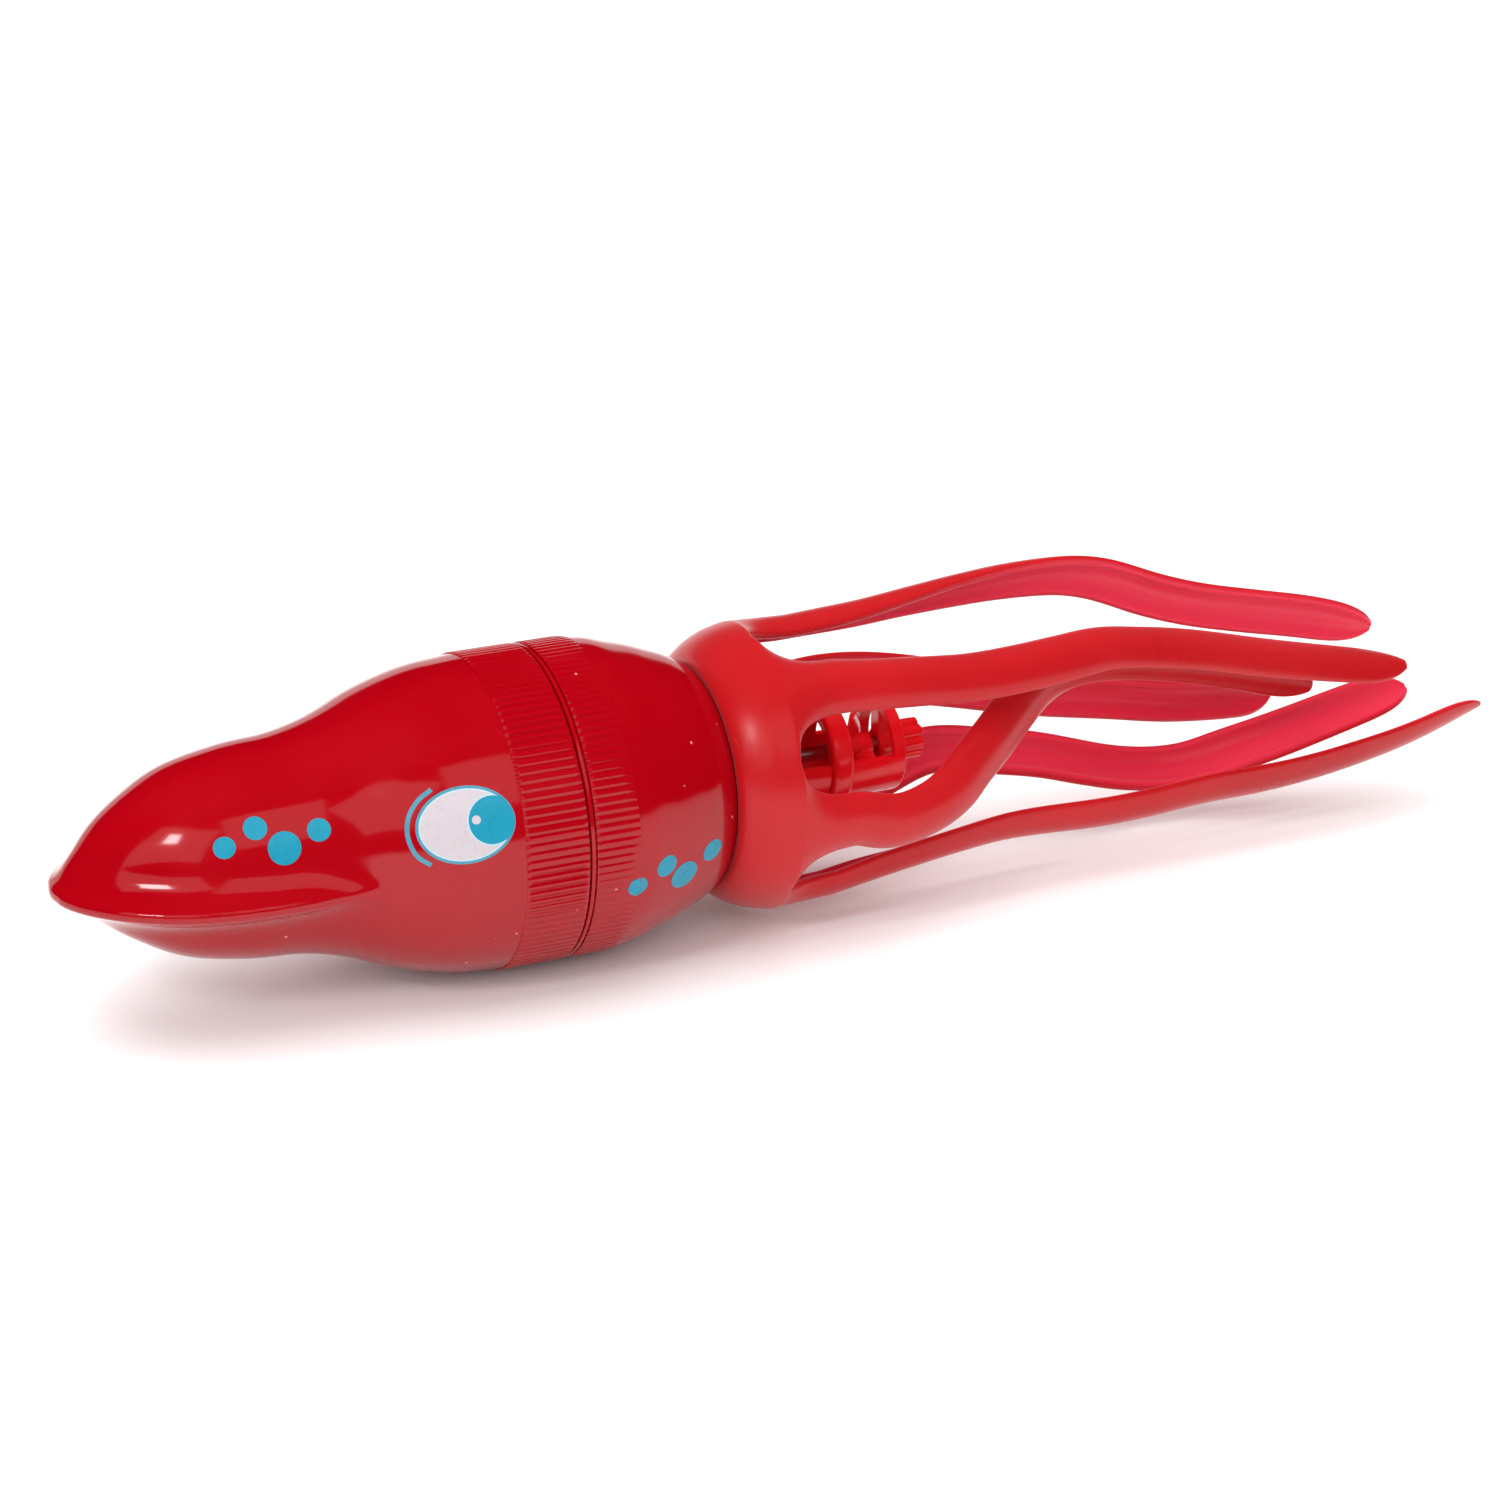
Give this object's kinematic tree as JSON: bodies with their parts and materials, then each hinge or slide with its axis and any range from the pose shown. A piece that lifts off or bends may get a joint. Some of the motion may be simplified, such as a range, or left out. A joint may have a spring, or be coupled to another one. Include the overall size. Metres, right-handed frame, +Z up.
{
  "type": "squid bath toy",
  "caption": "Battery-driven squid bath toy: screw-on glossy head, motor and propeller in an open tube, and a rubber skirt of wavy arms.",
  "frame": {"origin": "the middle of the lowest flat of the rear shell's knurled ring, where the toy rests on a table", "axes": "+X along the body towards the arm tips, +Z up, the nose points to -X and the printed eye shown first is on the -Y side"},
  "size_m": [0.3125, 0.0618, 0.0618],
  "materials": {
    "glossy_red": "high gloss moulded plastic",
    "rubber_red": "smooth matt translucent rubber",
    "inner_red": "satin moulded plastic",
    "seal_black": "soft rubber seal",
    "carrier_grey": "satin moulded plastic",
    "cell_jacket": "printed sleeve over a metal can",
    "steel": "bright plated steel",
    "winding": "lacquered copper winding on steel",
    "white_plastic": "satin moulded plastic",
    "print_blue": "pad-printed ink",
    "print_white": "pad-printed ink"
  },
  "bodies": {
    "rear_body": {"rear_shell": "glossy_red", "bulkhead": "inner_red", "bulkhead_screw_1": "steel", "bulkhead_screw_2": "steel", "motor_can": "steel", "motor_end_cap": "white_plastic", "shaft_gland": "seal_black", "battery_carrier": "carrier_grey", "front_contact": "steel", "rear_contact_1": "steel", "rear_contact_2": "steel", "battery_1": "cell_jacket", "battery_2": "cell_jacket", "contact_spring_1": "steel", "contact_spring_2": "steel", "tube_screw_1": "steel", "tube_screw_2": "steel", "tube_screw_3": "steel", "propeller_tube": "glossy_red", "skirt_collar": "rubber_red"},
    "cap_seal": {"cap_gasket": "seal_black"},
    "head": {"head_shell": "glossy_red"},
    "propeller_shaft": {"motor_rotor": "winding", "motor_shaft": "steel", "shaft_coupling": "inner_red", "drive_shaft": "steel", "propeller": "glossy_red", "propeller_knob": "glossy_red"},
    "arm_1": {"arm_1": "rubber_red"},
    "arm_2": {"arm_2": "rubber_red"},
    "arm_3": {"arm_3": "rubber_red"},
    "arm_4": {"arm_4": "rubber_red"},
    "arm_5": {"arm_5": "rubber_red"},
    "arm_6": {"arm_6": "rubber_red"}
  },
  "joints": [
    {"name": "cap_travel", "type": "slide", "parent": "rear_body", "child": "cap_seal", "axis": [-1, 0, 0], "range_m": [0, 0.01]},
    {"name": "cap_twist", "type": "hinge", "parent": "cap_seal", "child": "head", "pos_m": [-0.0054, 0, 0.0309], "axis": [-1, 0, 0], "range_deg": [0, 451]},
    {"name": "propeller_spin", "type": "hinge", "parent": "rear_body", "child": "propeller_shaft", "pos_m": [0.0546, 0, 0.0309], "axis": [1, 0, 0], "continuous": true},
    {"name": "arm_1_flex", "type": "hinge", "parent": "rear_body", "child": "arm_1", "pos_m": [0.0531, -0.01552, 0.05226], "axis": [0, -0.809, -0.5878], "range_deg": [0, 15], "stiffness_Nm_per_rad": 0.3},
    {"name": "arm_2_flex", "type": "hinge", "parent": "rear_body", "child": "arm_2", "pos_m": [0.0531, 0.01074, 0.05502], "axis": [0, -0.9135, 0.4067], "range_deg": [-2, 15], "stiffness_Nm_per_rad": 0.3},
    {"name": "arm_3_flex", "type": "hinge", "parent": "rear_body", "child": "arm_3", "pos_m": [0.0531, 0.0262, 0.03412], "axis": [0, -0.1219, 0.9925], "range_deg": [-2, 15], "stiffness_Nm_per_rad": 0.3},
    {"name": "arm_4_flex", "type": "hinge", "parent": "rear_body", "child": "arm_4", "pos_m": [0.0531, 0.01589, 0.00982], "axis": [0, 0.7986, 0.6018], "range_deg": [-2, 15], "stiffness_Nm_per_rad": 0.3},
    {"name": "arm_5_flex", "type": "hinge", "parent": "rear_body", "child": "arm_5", "pos_m": [0.0531, -0.01031, 0.0066], "axis": [0, 0.9205, -0.3907], "range_deg": [-2, 15], "stiffness_Nm_per_rad": 0.3},
    {"name": "arm_6_flex", "type": "hinge", "parent": "rear_body", "child": "arm_6", "pos_m": [0.0531, -0.02596, 0.02609], "axis": [0, 0.1822, -0.9833], "range_deg": [-2, 8], "stiffness_Nm_per_rad": 0.3}
  ],
  "couplings": [
    {"joint": "cap_twist", "follows": "cap_travel", "rad_per_m": 785.4}
  ]
}
